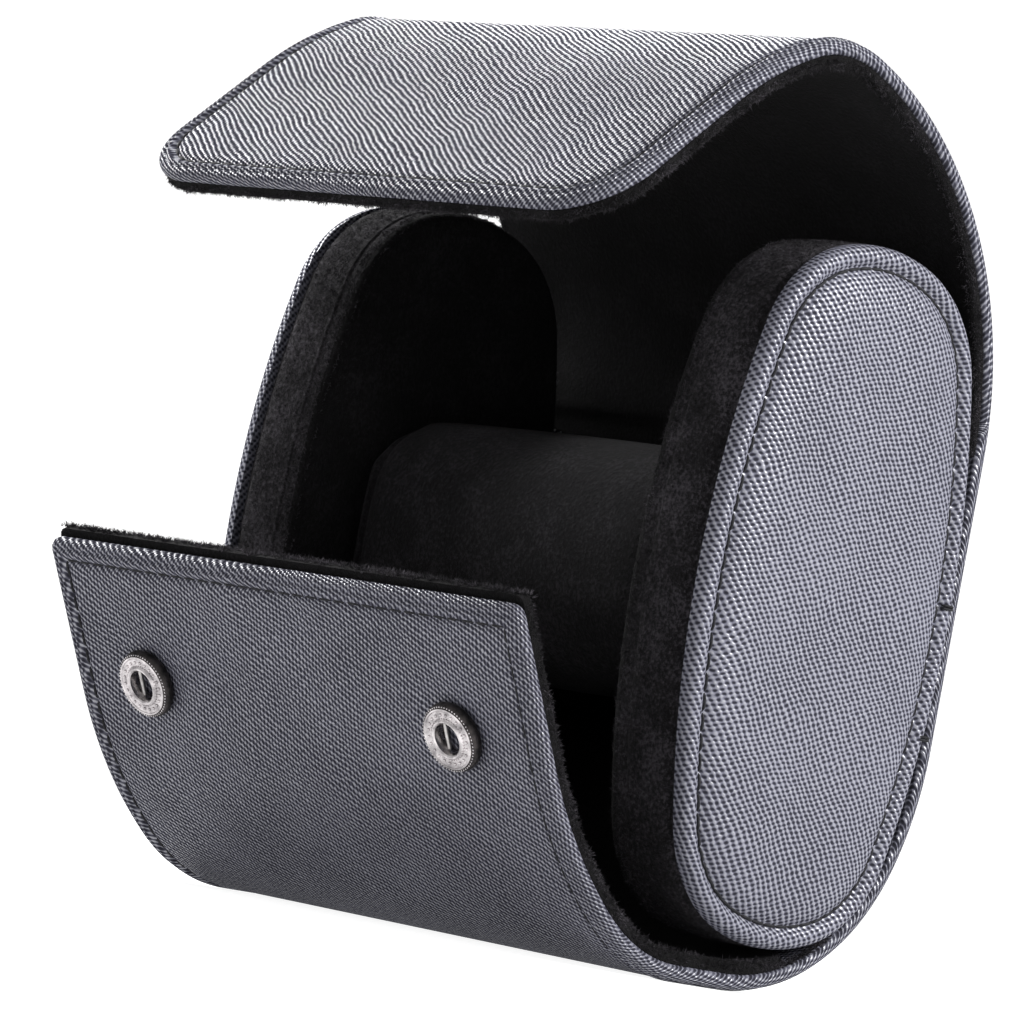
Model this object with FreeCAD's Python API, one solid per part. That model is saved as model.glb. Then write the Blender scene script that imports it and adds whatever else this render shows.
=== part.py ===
"""Watch travel case: a padded leather wrap that folds round two oval end pads.

Millimetres. X runs along the case from end to end, -Y is the front and +Z is up.
The origin is the middle of the flat foot that the wrap stands on.
"""
import FreeCAD
import Part
import math
import os

Vec = FreeCAD.Vector
X_AXIS = Vec(1, 0, 0)

# Layers of the wrap, from the outside in
leather_t = 1.4
board_t = 1.0
lining_t = 2.0
wrap_width = 104.4
turned_edge = 1.5          # leather folded round the edge of the board
board_play = 0.1
lining_inset = 0.9         # lining stops this far short of the leather's edge

# Oval end pads: their outline, and the bends of the wrap that their height leaves room for
pad_half_y = 28.8
pad_half_z = 54.5
pad_side_bow = 9.9         # how far the long sides bow out over the pads' half height
pad_floor_gap = 7.0        # lowest point of the pads above the foot
pad_back_gap = 0.28
bends_high = 62.6          # part of the pads' height that stands within the wrap's bends

# Outer line of the wrap, walked from the middle of the foot, with bends in degrees
foot_half = 5.5
heel_r = 36.6              # lower back corner
heel_angle = 68.0          # degrees
rump_r = 51.4
rump_angle = 22.0          # degrees
back_rise = pad_half_z + pad_half_z - bends_high
crown_r = 57.7             # back of the crown
crown_angle = 73.3         # degrees
brow_r = 20.9              # tight bend on top
brow_angle = 41.8          # degrees
lid_r = 64.3
lid_angle = 17.6           # degrees
lid_flat = 33.0
toe_r = 30.0               # lower front corner
toe_angle = 37.4           # degrees
flap_r = 70.0
flap_angle = 22.6          # degrees
flap_flat = 26.0
lid_corner_r = 13.0
flap_corner_r = 2.0

# Sections of the wrap between its folds, measured along the outer line
flap_fold_at = 8.0         # from the middle of the foot
lining_end_at = 20.0       # full width lining stops here, under the end pads
lid_long = 96.9
crown_top_long = 19.0
crown_rear_long = 22.0
fold_gap = 0.3             # width of a fold at the lining
fold_angle = 8.0           # degrees that each side of a fold is cut back

# The pads stand against the board of the wrap's back
wrap_back_y = (foot_half + heel_r * math.sin(math.radians(heel_angle))
               + rump_r * (1 - math.sin(math.radians(heel_angle))))
pad_y = wrap_back_y - leather_t - board_t - pad_back_gap - pad_half_y
pad_z = pad_floor_gap + pad_half_z
pad_side_r = pad_half_z * pad_half_z / (pad_side_bow + pad_side_bow)
pad_end_r = 33.0
pad_corner_r = 21.0
pad_proud = 0.3            # stitching of the leather face stands this far outside the wrap
pad_plane_x = wrap_width / 2 + pad_proud
pad_depth = 15.3           # from that plane to the suede inner face
pad_rim_t = 3.4            # rolled leather rim
pad_rim_lip = 1.2          # the rim stands proud of the stitching
pad_skin_t = 1.4
pad_stitch_inset = 3.7
pad_dome = 2.4             # how far the padded face swells
pad_dome_step = 7.0
pad_core_t = 0.7
pad_groove = 0.8           # groove between the rim and the suede band
pad_groove_w = 0.9
pad_band_t = 1.2
pad_edge_roll = 2.0
pad_play = 0.1

# Press studs: a socket with a wire spring on the flap, a stud under the lid
snap_x = 34.2
socket_from_edge = 22.2
socket_r = 5.45
socket_h = 2.3
socket_bevel = 0.9
socket_bore_r = 2.5
socket_mouth_bevel = 0.6
socket_dish_r = 3.5        # room behind the ring for the spring wires
socket_dish_h = 0.9
barrel_r = 3.0
rivet_flange_r = 4.6
rivet_flange_t = 0.6
snap_play = 0.1
spring_wire_r = 0.35
spring_wire_gap = 3.0
spring_wire_half = 2.9
stud_from_edge = 9.0
stud_flange_r = 5.0
stud_flange_t = 0.7
stud_neck_r = 1.4
stud_neck_h = 1.3
stud_head_r = 1.9
stud_head_h = 1.5
stud_post_r = 1.2

# Watch cushion, a push fit between the end pads
cushion_back = 0.8         # the cushion sits this far behind the pads' middle
cushion_deep = 42.0
cushion_high = 42.0
cushion_round = 16.0
cushion_skin = 1.5
cushion_fit = 0.3
cushion_crown = 2.5
cushion_end_step = 8.0
cushion_core_deep = 22.0
cushion_core_high = 20.0
cushion_core_t = 2.0
cushion_y = pad_y + cushion_back
cushion_z = pad_z

# Bar tacks that hold the pads to the back edge of the wrap
tack_r = 0.45
tack_play = 0.05
tack_below = 18.0          # lower tack below the pads' middle
tack_above = 2.8
tack_short = 1.0           # the tacks stop this far short of the wrap's back
tack_heights = (pad_z - tack_below, pad_z + tack_above)

overrun = 2.0
SIDES = {"left": -1, "right": 1}

REAR_LINE = (
    (0, foot_half), (heel_r, heel_angle), (rump_r, rump_angle), (0, back_rise),
    (crown_r, crown_angle), (brow_r, brow_angle), (lid_r, lid_angle), (0, lid_flat),
)
FRONT_LINE = ((0, foot_half), (toe_r, toe_angle), (flap_r, flap_angle), (0, flap_flat))


class Line:
    """A walk of straight runs and bends in the YZ plane, all bending inwards."""

    def __init__(self, runs, side):
        self.side = side       # 1 walks to the back and up, -1 walks to the front and up
        self.runs = []
        place, turn, walked = Vec(0, 0, 0), 0.0, 0.0
        for radius, amount in runs:
            length = radius * math.radians(amount) if radius else amount
            self.runs.append((place, turn, walked, radius, length))
            place = self.step(place, turn, radius, length)
            turn += math.degrees(length / radius) if radius else 0
            walked += length
        self.length = walked

    def ahead(self, turn):
        angle = math.radians(turn)
        return Vec(0, self.side * math.cos(angle), math.sin(angle))

    def inward(self, turn):
        angle = math.radians(turn)
        return Vec(0, -self.side * math.sin(angle), math.cos(angle))

    def step(self, place, turn, radius, length):
        if not radius:
            return place + self.ahead(turn) * length
        centre = place + self.inward(turn) * radius
        return centre - self.inward(turn + math.degrees(length / radius)) * radius

    def at(self, walked, depth=0):
        """Point at a distance along the line and a depth inside it, and the turn there."""
        for place, turn, start, radius, length in self.runs:
            if walked <= start + length or start + length == self.length:
                part = walked - start
                here = turn + (math.degrees(part / radius) if radius else 0)
                return self.step(place, turn, radius, part) + self.inward(here) * depth, here

    def edges(self, start, end, depth):
        """Edges of the line between two distances, at a depth inside it."""
        found = []
        for _, _, begun, radius, length in self.runs:
            low, high = max(start, begun), min(end, begun + length)
            if high - low <= 0:
                continue
            first, last = self.at(low, depth)[0], self.at(high, depth)[0]
            if radius:
                middle = self.at((low + high) / 2, depth)[0]
                found.append(Part.Arc(first, middle, last).toShape())
            else:
                found.append(Part.LineSegment(first, last).toShape())
        return found


REAR = Line(REAR_LINE, 1)
FRONT = Line(FRONT_LINE, -1)
lid_fold_at = REAR.length - lid_long
crown_fold_at = lid_fold_at - crown_top_long
rear_fold_at = crown_fold_at - crown_rear_long


def layer(spans, outer, inner, half_width):
    """Solid layer of the wrap between two depths, over one or two spans of line."""
    near, far = [], []
    for line, start, end in spans:
        near += line.edges(start, end, outer)
        far += line.edges(start, end, inner)
    (first_line, first_at), (last_line, last_at) = ends_of(spans)
    caps = [
        Part.LineSegment(line.at(at, outer)[0], line.at(at, inner)[0]).toShape()
        for line, at in ((first_line, first_at), (last_line, last_at))
    ]
    wire = Part.Wire(Part.__sortEdges__(near + far + caps))
    face = Part.Face(wire)
    face.translate(X_AXIS * -half_width)
    return face.extrude(X_AXIS * (half_width + half_width))


def ends_of(spans):
    """The two free ends of one span, or of a front and a rear span that meet at the foot."""
    if len(spans) == 1:
        line, start, end = spans[0]
        return (line, start), (line, end)
    return tuple((line, end) for line, _, end in spans)


def round_corners(solid, line, at, depth, half_width, radius):
    """Round the two corners of a layer at the free end of the line."""
    place, turn = line.at(at, depth)
    picked = []
    for edge in solid.Edges:
        middle = edge.valueAt((edge.FirstParameter + edge.LastParameter) / 2)
        along = (middle - place).dot(line.ahead(turn))
        straight = len(edge.Vertexes) == 2 and isinstance(edge.Curve, Part.Line)
        if straight and abs(along) < fold_gap and abs(abs(middle.x) - half_width) < fold_gap:
            way = edge.tangentAt(edge.FirstParameter)
            if abs(way.dot(line.inward(turn))) > abs(way.dot(X_AXIS)):
                picked.append(edge)
    return solid.makeFillet(radius, picked)


def fold_wedge(line, at):
    """Wedge that frees a fold: narrow at the lining, wider at the leather."""
    depth = leather_t + board_t + lining_t
    hinge, turn = line.at(at, depth)
    side = line.ahead(turn)
    out = line.inward(turn) * -1
    reach = depth + overrun
    spread = reach * math.tan(math.radians(fold_angle)) + fold_gap / 2
    low = hinge - out * overrun
    high = hinge + out * reach
    corners = [
        low - side * (fold_gap / 2), hinge - side * (fold_gap / 2), high - side * spread,
        high + side * spread, hinge + side * (fold_gap / 2), low + side * (fold_gap / 2),
    ]
    face = Part.Face(Part.makePolygon(corners + corners[:1]))
    face.translate(X_AXIS * -wrap_width)
    return face.extrude(X_AXIS * (wrap_width + wrap_width))


FOLDS = {
    "flap": fold_wedge(FRONT, flap_fold_at),
    "rear": fold_wedge(REAR, rear_fold_at),
    "crown": fold_wedge(REAR, crown_fold_at),
    "lid": fold_wedge(REAR, lid_fold_at),
}


def wrap_section(spans, folds, free_end=None):
    """Leather cover, stiffening board and lining of one section of the wrap."""
    half = wrap_width / 2
    inner = leather_t + board_t
    pocket_half = half - turned_edge
    lining_half = half - lining_inset

    def trimmed(edge_inset):
        """The spans with a free end drawn back from its edge."""
        if not free_end:
            return spans
        return [(line, start, end - edge_inset) for line, start, end in spans]

    leather = layer(spans, 0, inner, half)
    pocket = layer(trimmed(turned_edge), leather_t, inner + overrun, pocket_half)
    board = layer(
        trimmed(turned_edge + board_play), leather_t, inner, pocket_half - board_play
    )
    lining = layer(trimmed(lining_inset), inner, inner + lining_t, lining_half)
    if free_end:
        line, at, radius = free_end
        leather = round_corners(leather, line, at, 0, half, radius)
        lesser = max(radius - turned_edge, board_play)
        at_pocket = at - turned_edge
        pocket = round_corners(pocket, line, at_pocket, 0, pocket_half, lesser)
        board = round_corners(
            board, line, at_pocket - board_play, 0, pocket_half - board_play, lesser
        )
        lesser = max(radius - lining_inset, board_play)
        lining = round_corners(lining, line, at - lining_inset, 0, lining_half, lesser)
    leather = leather.cut(pocket)
    for fold in folds:
        leather, board, lining = (part.cut(FOLDS[fold]) for part in (leather, board, lining))
    return leather, board, lining


def oval(half_y, half_z, x, drop=0):
    """Oval wire of eight tangent arcs across X, drawn in by a drop all round."""
    side_r, end_r, corner_r = pad_side_r - drop, pad_end_r - drop, pad_corner_r - drop
    side_c = half_y - pad_side_r
    end_c = half_z - pad_end_r
    to_side = pad_side_r - pad_corner_r
    to_end = pad_end_r - pad_corner_r
    apart = math.hypot(side_c, end_c)
    along = (to_side ** 2 - to_end ** 2 + apart ** 2) / (apart + apart)
    off = math.sqrt(to_side ** 2 - along ** 2)
    away_y, away_z = -side_c / apart, end_c / apart
    corner_y = side_c + along * away_y - off * away_z
    corner_z = along * away_z + off * away_y
    lower = math.atan2(corner_z, corner_y - side_c)
    upper = math.atan2(corner_z - end_c, corner_y)

    def point(centre_y, centre_z, radius, angle, sign_y, sign_z):
        return Vec(
            x,
            pad_y + sign_y * (centre_y + radius * math.cos(angle)),
            pad_z + sign_z * (centre_z + radius * math.sin(angle)),
        )

    def corner(sign_y, sign_z):
        angles = (lower, (lower + upper) / 2, upper)
        if sign_y != sign_z:
            angles = angles[::-1]
        return [point(corner_y, corner_z, corner_r, a, sign_y, sign_z) for a in angles]

    def flank(sign_y):
        angles = (-lower * sign_y, 0, lower * sign_y)
        return [point(side_c, 0, side_r, a, sign_y, 1) for a in angles]

    def end(sign_z):
        angles = (upper, math.pi / 2, math.pi - upper)[::sign_z]
        return [point(0, end_c, end_r, a, 1, sign_z) for a in angles]

    arcs = [flank(1), corner(1, 1), end(1), corner(-1, 1), flank(-1), corner(-1, -1),
            end(-1), corner(1, -1)]
    return Part.Wire([Part.Arc(*arc).toShape() for arc in arcs])


def oval_plate(low_x, high_x, drop=0):
    face = Part.Face(oval(pad_half_y, pad_half_z, low_x, drop))
    return face.extrude(X_AXIS * (high_x - low_x))


def oval_loft(rings):
    """Smooth stack of ovals, each given as its place along X and its drop."""
    wires = [oval(pad_half_y, pad_half_z, x, drop) for x, drop in rings]
    return Part.makeLoft(wires, True, True)


def end_pad():
    """Pieces of the right end pad, its leather face towards +X."""
    rim_out = pad_plane_x + pad_rim_lip
    rim_in = rim_out - pad_rim_t
    inner_x = pad_plane_x - pad_depth
    roll = pad_rim_lip
    face = oval_loft([
        (rim_in, roll / 2), (rim_in + roll, 0), (rim_out - roll, 0),
        (rim_out, pad_stitch_inset / 2), (pad_plane_x, pad_stitch_inset),
        (pad_plane_x + pad_dome * 2 / 3, pad_stitch_inset + pad_dome_step / 4),
        (pad_plane_x + pad_dome, pad_stitch_inset + pad_dome_step),
    ])
    hollow = oval_loft([
        (rim_in - overrun, pad_stitch_inset),
        (pad_plane_x - pad_skin_t, pad_stitch_inset),
        (pad_plane_x + pad_dome - pad_skin_t, pad_stitch_inset + pad_dome_step),
    ])
    padding_in = rim_in + pad_core_t + pad_play
    room = oval_plate(padding_in, rim_out + pad_dome + overrun)
    padding = hollow.common(room)
    face = face.cut(hollow)
    core = oval_plate(rim_in, rim_in + pad_core_t, pad_stitch_inset + pad_play)
    band_out = rim_in - pad_groove_w
    cover_out = inner_x + pad_edge_roll
    band = oval_plate(cover_out, band_out)
    band = band.cut(oval_plate(cover_out - overrun, band_out + overrun, pad_band_t))
    neck = oval_plate(band_out, rim_in, pad_groove)
    neck = neck.cut(oval_plate(band_out - overrun, rim_in + overrun, pad_band_t))
    foam = oval_plate(cover_out, rim_in, pad_band_t + pad_play)
    cover = oval_loft([
        (inner_x, pad_edge_roll), (inner_x + pad_edge_roll / 2, pad_edge_roll / 4),
        (cover_out, pad_groove / 2),
    ])
    return {
        "pad_face": face, "pad_padding": padding, "pad_core": core,
        "pad_band": band.fuse(neck).removeSplitter(), "pad_foam": foam, "pad_cover": cover,
    }


def cylinder(place, way, low, high, radius):
    return Part.makeCylinder(radius, high - low, place + way * low, way)


def cone(place, way, low, high, low_r, high_r):
    return Part.makeCone(low_r, high_r, high - low, place + way * low, way)


def socket_seat(side):
    """Middle of a socket on the outside of the flap, and the way out of the leather."""
    place, turn = FRONT.at(FRONT.length - socket_from_edge)
    return place + X_AXIS * (side * snap_x), FRONT.inward(turn) * -1


def stud_seat(side):
    """Middle of a stud on the lining of the lid, and the way out of the lining."""
    depth = leather_t + board_t + lining_t
    place, turn = REAR.at(REAR.length - stud_from_edge, depth)
    return place + X_AXIS * (side * snap_x), REAR.inward(turn)


def socket_parts(side):
    """Socket ring, the rivet behind it and the two wires of its spring."""
    place, out = socket_seat(side)
    ring = cylinder(place, out, 0, socket_h - socket_bevel, socket_r).fuse(
        cone(place, out, socket_h - socket_bevel, socket_h, socket_r, socket_r - socket_bevel)
    ).removeSplitter()
    ring = ring.cut(cylinder(place, out, -overrun, socket_h + overrun, socket_bore_r))
    ring = ring.cut(cylinder(place, out, -overrun, socket_dish_h, socket_dish_r))
    ring = ring.cut(cone(
        place, out, socket_h - socket_mouth_bevel, socket_h,
        socket_bore_r, socket_bore_r + socket_mouth_bevel,
    ))
    board_back = -(leather_t + board_t)
    rivet = cylinder(place, out, board_back, 0, barrel_r).fuse(
        cylinder(place, out, board_back - rivet_flange_t, board_back, rivet_flange_r)
    ).removeSplitter()
    rivet = rivet.cut(cylinder(place, out, board_back, overrun, socket_bore_r))
    wires = [
        Part.makeCylinder(
            spring_wire_r, spring_wire_half + spring_wire_half,
            place + out * (spring_wire_r + snap_play)
            + X_AXIS * (shift * spring_wire_gap / 2)
            - up * spring_wire_half, up,
        )
        for shift, up in ((-1, out.cross(X_AXIS)), (1, out.cross(X_AXIS)))
    ]
    return ring, rivet, Part.makeCompound(wires)


def stud_part(side):
    """Stud with its flange on the lining and its post through the board."""
    place, out = stud_seat(side)
    flange = cylinder(place, out, 0, stud_flange_t, stud_flange_r)
    neck = cylinder(place, out, stud_flange_t, stud_flange_t + stud_neck_h, stud_neck_r)
    head_low = stud_flange_t + stud_neck_h
    head = cylinder(place, out, head_low, head_low + stud_head_h, stud_head_r)
    post = cylinder(place, out, -(lining_t + board_t), 0, stud_post_r)
    return flange.fuse([neck, head, post]).removeSplitter()


def cushion_wire(x, drop):
    """Rounded oblong across X, drawn in by a drop all round."""
    half_y, half_z = cushion_deep / 2 - drop, cushion_high / 2 - drop
    radius = cushion_round - drop
    flat_y, flat_z = half_y - radius, half_z - radius
    edges = []
    for quarter in range(4):
        angle = math.pi / 2 * quarter
        sign_y = 1 if quarter in (0, 3) else -1
        sign_z = 1 if quarter in (0, 1) else -1
        centre = Vec(x, cushion_y + sign_y * flat_y, cushion_z + sign_z * flat_z)
        arc = [
            centre + Vec(0, math.cos(a), math.sin(a)) * radius
            for a in (angle, angle + math.pi / 4, angle + math.pi / 2)
        ]
        edges.append(Part.Arc(*arc).toShape())
    joined = []
    for index, edge in enumerate(edges):
        following = edges[(index + 1) % len(edges)]
        joined += [edge, Part.LineSegment(
            edge.valueAt(edge.LastParameter), following.valueAt(following.FirstParameter)
        ).toShape()]
    return Part.Wire(joined)


def watch_cushion():
    """Suede cover, foam filling and the stiff sleeve in its middle."""
    half = pad_plane_x - pad_depth - cushion_fit
    rings = [
        (half, cushion_crown), (half - cushion_end_step, 0), (cushion_end_step - half, 0),
        (-half, cushion_crown),
    ]
    outer = Part.makeLoft([cushion_wire(x, drop) for x, drop in rings], True, True)
    filled_half = half - cushion_skin
    room = Part.Face(cushion_wire(-filled_half, cushion_crown + cushion_skin))
    room = room.extrude(X_AXIS * (filled_half + filled_half))
    sleeve_half = half - cushion_skin - cushion_end_step
    corner = Vec(-sleeve_half, cushion_y - cushion_core_deep / 2,
                 cushion_z - cushion_core_high / 2)
    sleeve = Part.makeBox(
        sleeve_half + sleeve_half, cushion_core_deep, cushion_core_high, corner
    )
    hollow = Part.makeBox(
        sleeve_half + sleeve_half + overrun, cushion_core_deep - cushion_core_t * 2,
        cushion_core_high - cushion_core_t * 2,
        corner + Vec(-overrun / 2, cushion_core_t, cushion_core_t),
    )
    return {
        "cushion_cover": outer.cut(room), "cushion_foam": room.cut(sleeve),
        "cushion_sleeve": sleeve.cut(hollow),
    }


def bar_tacks():
    """Thread bars over the back edge, two at each end of the case."""
    wrap_back = max(place.y for place, *_ in REAR.runs)
    pad_back = pad_y + pad_half_y + tack_play
    bars = []
    for side in SIDES.values():
        for height in tack_heights:
            x = side * (wrap_width / 2 + tack_r)
            bars.append(Part.makeCylinder(
                tack_r, wrap_back - tack_short - pad_back, Vec(x, pad_back, height), Vec(0, 1, 0)
            ))
    return Part.makeCompound(bars)


def build():
    """Every piece of the case under its name."""
    parts = {}
    inner = leather_t + board_t
    spine = [(FRONT, 0, flap_fold_at), (REAR, 0, rear_fold_at)]
    parts["spine_leather"], parts["spine_board"], _ = wrap_section(spine, ("flap", "rear"))
    lining_half = wrap_width / 2 - lining_inset
    between_pads = pad_plane_x - pad_depth - cushion_fit
    floor = layer(
        [(FRONT, 0, flap_fold_at), (REAR, 0, lining_end_at)], inner, inner + lining_t,
        lining_half,
    )
    parts["bottom_lining"] = floor.cut(FOLDS["flap"])
    back = layer([(REAR, lining_end_at, rear_fold_at)], inner, inner + lining_t, between_pads)
    parts["back_lining"] = back.cut(FOLDS["rear"])

    sections = {
        "crown_rear": ([(REAR, rear_fold_at, crown_fold_at)], ("rear", "crown"), None),
        "crown_top": ([(REAR, crown_fold_at, lid_fold_at)], ("crown", "lid"), None),
        "lid": ([(REAR, lid_fold_at, REAR.length)], ("lid",),
                (REAR, REAR.length, lid_corner_r)),
        "flap": ([(FRONT, flap_fold_at, FRONT.length)], ("flap",),
                 (FRONT, FRONT.length, flap_corner_r)),
    }
    for name, (spans, folds, free_end) in sections.items():
        layers = wrap_section(spans, folds, free_end)
        for kind, solid in zip(("leather", "board", "lining"), layers):
            parts[f"{name}_{kind}"] = solid

    for name, solid in end_pad().items():
        parts[f"right_{name}"] = solid
        parts[f"left_{name}"] = solid.mirror(Vec(0, 0, 0), X_AXIS)

    for name, side in SIDES.items():
        ring, rivet, spring = socket_parts(side)
        parts[f"{name}_socket"] = ring
        parts[f"{name}_socket_rivet"] = rivet
        parts[f"{name}_socket_spring"] = spring
        stud = stud_part(side)
        parts[f"{name}_stud"] = stud
        place, out = socket_seat(side)
        hole = cylinder(place, out, -(inner + overrun), overrun, barrel_r + snap_play)
        recess = cylinder(
            place, out, -(inner + rivet_flange_t + snap_play), -inner,
            rivet_flange_r + snap_play,
        )
        for kind in ("leather", "board"):
            parts[f"flap_{kind}"] = parts[f"flap_{kind}"].cut(hole)
        parts["flap_lining"] = parts["flap_lining"].cut(recess)
        place, out = stud_seat(side)
        hole = cylinder(place, out, -(lining_t + board_t), overrun, stud_post_r + snap_play)
        for kind in ("board", "lining"):
            parts[f"lid_{kind}"] = parts[f"lid_{kind}"].cut(hole)

    parts.update(watch_cushion())
    parts["bar_tacks"] = bar_tacks()
    return parts


os.makedirs("parts", exist_ok=True)
for node, shape in build().items():
    print(node, "solids", len(shape.Solids), "volume", round(shape.Volume, 1),
          "valid", shape.isValid())
    shape.exportStep(f"parts/{node}.step")
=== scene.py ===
# %% [markdown]
# # A padded travel case for one watch
# A strip of embossed leather, stiffened with board and lined with suede, folds round two
# oval end pads. Its long end is the lid, its short end is the front flap, and press studs
# hold the two together. This lesson dresses the measured CAD model of the case.
# Every length is in metres. The measures below are typed in millimetres and scaled once.

# %% Load the measured model
import math

import bmesh
import bpy
import numpy as np
from mathutils import Euler, Matrix, Vector


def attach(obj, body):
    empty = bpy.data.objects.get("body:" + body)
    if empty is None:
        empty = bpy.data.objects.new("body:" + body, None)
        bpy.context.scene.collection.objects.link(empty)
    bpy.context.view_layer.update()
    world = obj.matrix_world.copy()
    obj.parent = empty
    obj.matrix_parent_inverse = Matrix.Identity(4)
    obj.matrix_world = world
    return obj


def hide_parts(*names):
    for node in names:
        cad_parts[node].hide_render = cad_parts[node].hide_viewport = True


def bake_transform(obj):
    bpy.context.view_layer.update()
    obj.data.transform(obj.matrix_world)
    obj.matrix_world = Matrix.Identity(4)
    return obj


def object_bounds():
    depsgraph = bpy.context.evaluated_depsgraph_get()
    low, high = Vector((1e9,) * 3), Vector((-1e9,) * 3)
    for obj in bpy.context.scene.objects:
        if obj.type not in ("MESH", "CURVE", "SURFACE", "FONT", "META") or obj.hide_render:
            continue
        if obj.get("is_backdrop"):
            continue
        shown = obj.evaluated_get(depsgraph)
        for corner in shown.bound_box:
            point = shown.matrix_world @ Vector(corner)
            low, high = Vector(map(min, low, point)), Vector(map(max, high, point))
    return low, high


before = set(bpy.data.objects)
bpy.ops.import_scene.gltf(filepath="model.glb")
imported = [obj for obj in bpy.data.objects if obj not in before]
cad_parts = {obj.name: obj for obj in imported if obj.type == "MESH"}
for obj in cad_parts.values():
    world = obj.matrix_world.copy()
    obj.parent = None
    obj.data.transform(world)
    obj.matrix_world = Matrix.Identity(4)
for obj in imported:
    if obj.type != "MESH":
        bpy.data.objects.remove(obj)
cad_low, cad_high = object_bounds()
MM = 0.001
SIDES = {"left": -1, "right": 1}
print("CAD box", [round(v / MM, 1) for v in (*cad_low, *cad_high)])

# %% [markdown]
# ## Small helpers
# Operators act on all that is selected, so each step clears the selection, picks faces or
# edges by their place, and only then works on them.


# %% Helpers for modelling
def choose(piece):
    """Make the piece the only selected object."""
    bpy.ops.object.select_all(action="DESELECT")
    piece.select_set(True)
    bpy.context.view_layer.objects.active = piece


def begin(piece):
    """Choose the piece and open it in edit mode."""
    choose(piece)
    bpy.ops.object.mode_set(mode="EDIT")


def done():
    bpy.ops.object.mode_set(mode="OBJECT")


def newest(name):
    """Name the primitive that was just added and give it back."""
    piece = bpy.context.view_layer.objects.active
    piece.name = piece.data.name = name
    return piece


def pick(piece, kind, wanted):
    """Select faces, edges or corners whose middle and direction pass a test."""
    bpy.ops.mesh.select_mode(type=kind)
    bpy.ops.mesh.select_all(action="DESELECT")
    mesh = bmesh.from_edit_mesh(piece.data)
    for face in mesh.faces if kind == "FACE" else ():
        face.select_set(bool(wanted(face.calc_center_median(), face.normal)))
    for edge in mesh.edges if kind == "EDGE" else ():
        start, end = (corner.co for corner in edge.verts)
        edge.select_set(bool(wanted((start + end) / 2, (end - start).normalized())))
    for corner in mesh.verts if kind == "VERT" else ():
        corner.select_set(bool(wanted(corner.co, corner.normal)))
    mesh.select_flush_mode()
    bmesh.update_edit_mesh(piece.data)


def places(piece):
    """Corner places of a mesh as an array of rows."""
    rows = np.empty(len(piece.data.vertices) * 3)
    piece.data.vertices.foreach_get("co", rows)
    return rows.reshape(-1, 3)


def put(piece, rows):
    """Move the corners of a mesh to an array of places."""
    piece.data.vertices.foreach_set("co", np.asarray(rows, float).ravel())
    piece.data.update()


def finish_with(piece, kind, **settings):
    """Add one modifier and apply it."""
    choose(piece)
    modifier = piece.modifiers.new(kind.title(), kind)
    for key, value in settings.items():
        setattr(modifier, key, value)
    bpy.ops.object.modifier_apply(modifier=modifier.name)


def smooth(piece, degrees=40):
    """Shade a piece smooth, except over edges sharper than an angle."""
    choose(piece)
    bpy.ops.object.shade_smooth_by_angle(angle=math.radians(degrees))


def join(pieces, name):
    """Make one object of several."""
    bpy.ops.object.select_all(action="DESELECT")
    for piece in pieces:
        piece.select_set(True)
    bpy.context.view_layer.objects.active = pieces[0]
    if len(pieces) > 1:
        bpy.ops.object.join()
    return newest(name)


def copy_of(piece, name):
    """A copy of a piece with a mesh of its own."""
    twin = piece.copy()
    twin.data = piece.data.copy()
    twin.name = twin.data.name = name
    bpy.context.scene.collection.objects.link(twin)
    return twin


def keep_map(piece, flat):
    """Store a flat place for each corner as the only map of a piece."""
    while piece.data.uv_layers:
        piece.data.uv_layers.remove(piece.data.uv_layers[0])
    layer = piece.data.uv_layers.new(name="flat")
    corners = np.empty(len(piece.data.loops), np.int32)
    piece.data.loops.foreach_get("vertex_index", corners)
    layer.data.foreach_set("uv", flat[corners].astype(np.float32).ravel())


# %% [markdown]
# ## Camera
# The picture was taken with a long lens, low down, from the front right. The camera is rolled,
# because the case leaned back on its rounded heel there and stands upright here.

# %% Camera
CAMERA_PLACE = Vector((0.6155, -0.6289, 0.0191))
CAMERA_AZIMUTH, CAMERA_ELEVATION, CAMERA_ROLL = (
    math.radians(angle) for angle in (44.685, -3.115, 10.627))
CAMERA_LENS = 196.0

bpy.ops.object.camera_add(location=CAMERA_PLACE)
camera = newest("camera")
back = Vector((
    math.sin(CAMERA_AZIMUTH) * math.cos(CAMERA_ELEVATION),
    -math.cos(CAMERA_AZIMUTH) * math.cos(CAMERA_ELEVATION),
    math.sin(CAMERA_ELEVATION),
))
right = (-back).cross(Vector((0, 0, 1))).normalized()
above = right.cross(-back)
across = right * math.cos(CAMERA_ROLL) + above * math.sin(CAMERA_ROLL)
upright = above * math.cos(CAMERA_ROLL) - right * math.sin(CAMERA_ROLL)
camera.rotation_euler = Matrix((across, upright, back)).transposed().to_euler()
camera.data.lens = CAMERA_LENS
camera.data.sensor_width = 36.0
camera.data.clip_start, camera.data.clip_end = 0.05, 20.0
bpy.context.scene.camera = camera
print("camera looks from azimuth", round(math.degrees(CAMERA_AZIMUTH), 1))

# %% [markdown]
# ## Shader helper
# One short function adds a node, so that each finish below reads as a recipe.


# %% Shader helper
def add(tree, kind, inputs=(), **settings):
    """Add a shader node. Inputs are pairs of a socket and a value or another socket."""
    node = tree.nodes.new("ShaderNode" + kind)
    for key, value in settings.items():
        setattr(node, key, value)
    for socket, value in inputs:
        if isinstance(value, bpy.types.NodeSocket):
            tree.links.new(value, node.inputs[socket])
        else:
            node.inputs[socket].default_value = value
    return node


def maths(tree, kind, first, second=0.0, third=0.0):
    """Result of one Math node."""
    return add(tree, "Math", ((0, first), (1, second), (2, third)), operation=kind).outputs[0]


def new_finish(name):
    """An empty material and its Principled shader."""
    finish = bpy.data.materials.new(name)
    finish.use_nodes = True
    return finish, finish.node_tree, finish.node_tree.nodes["Principled BSDF"]


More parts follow.
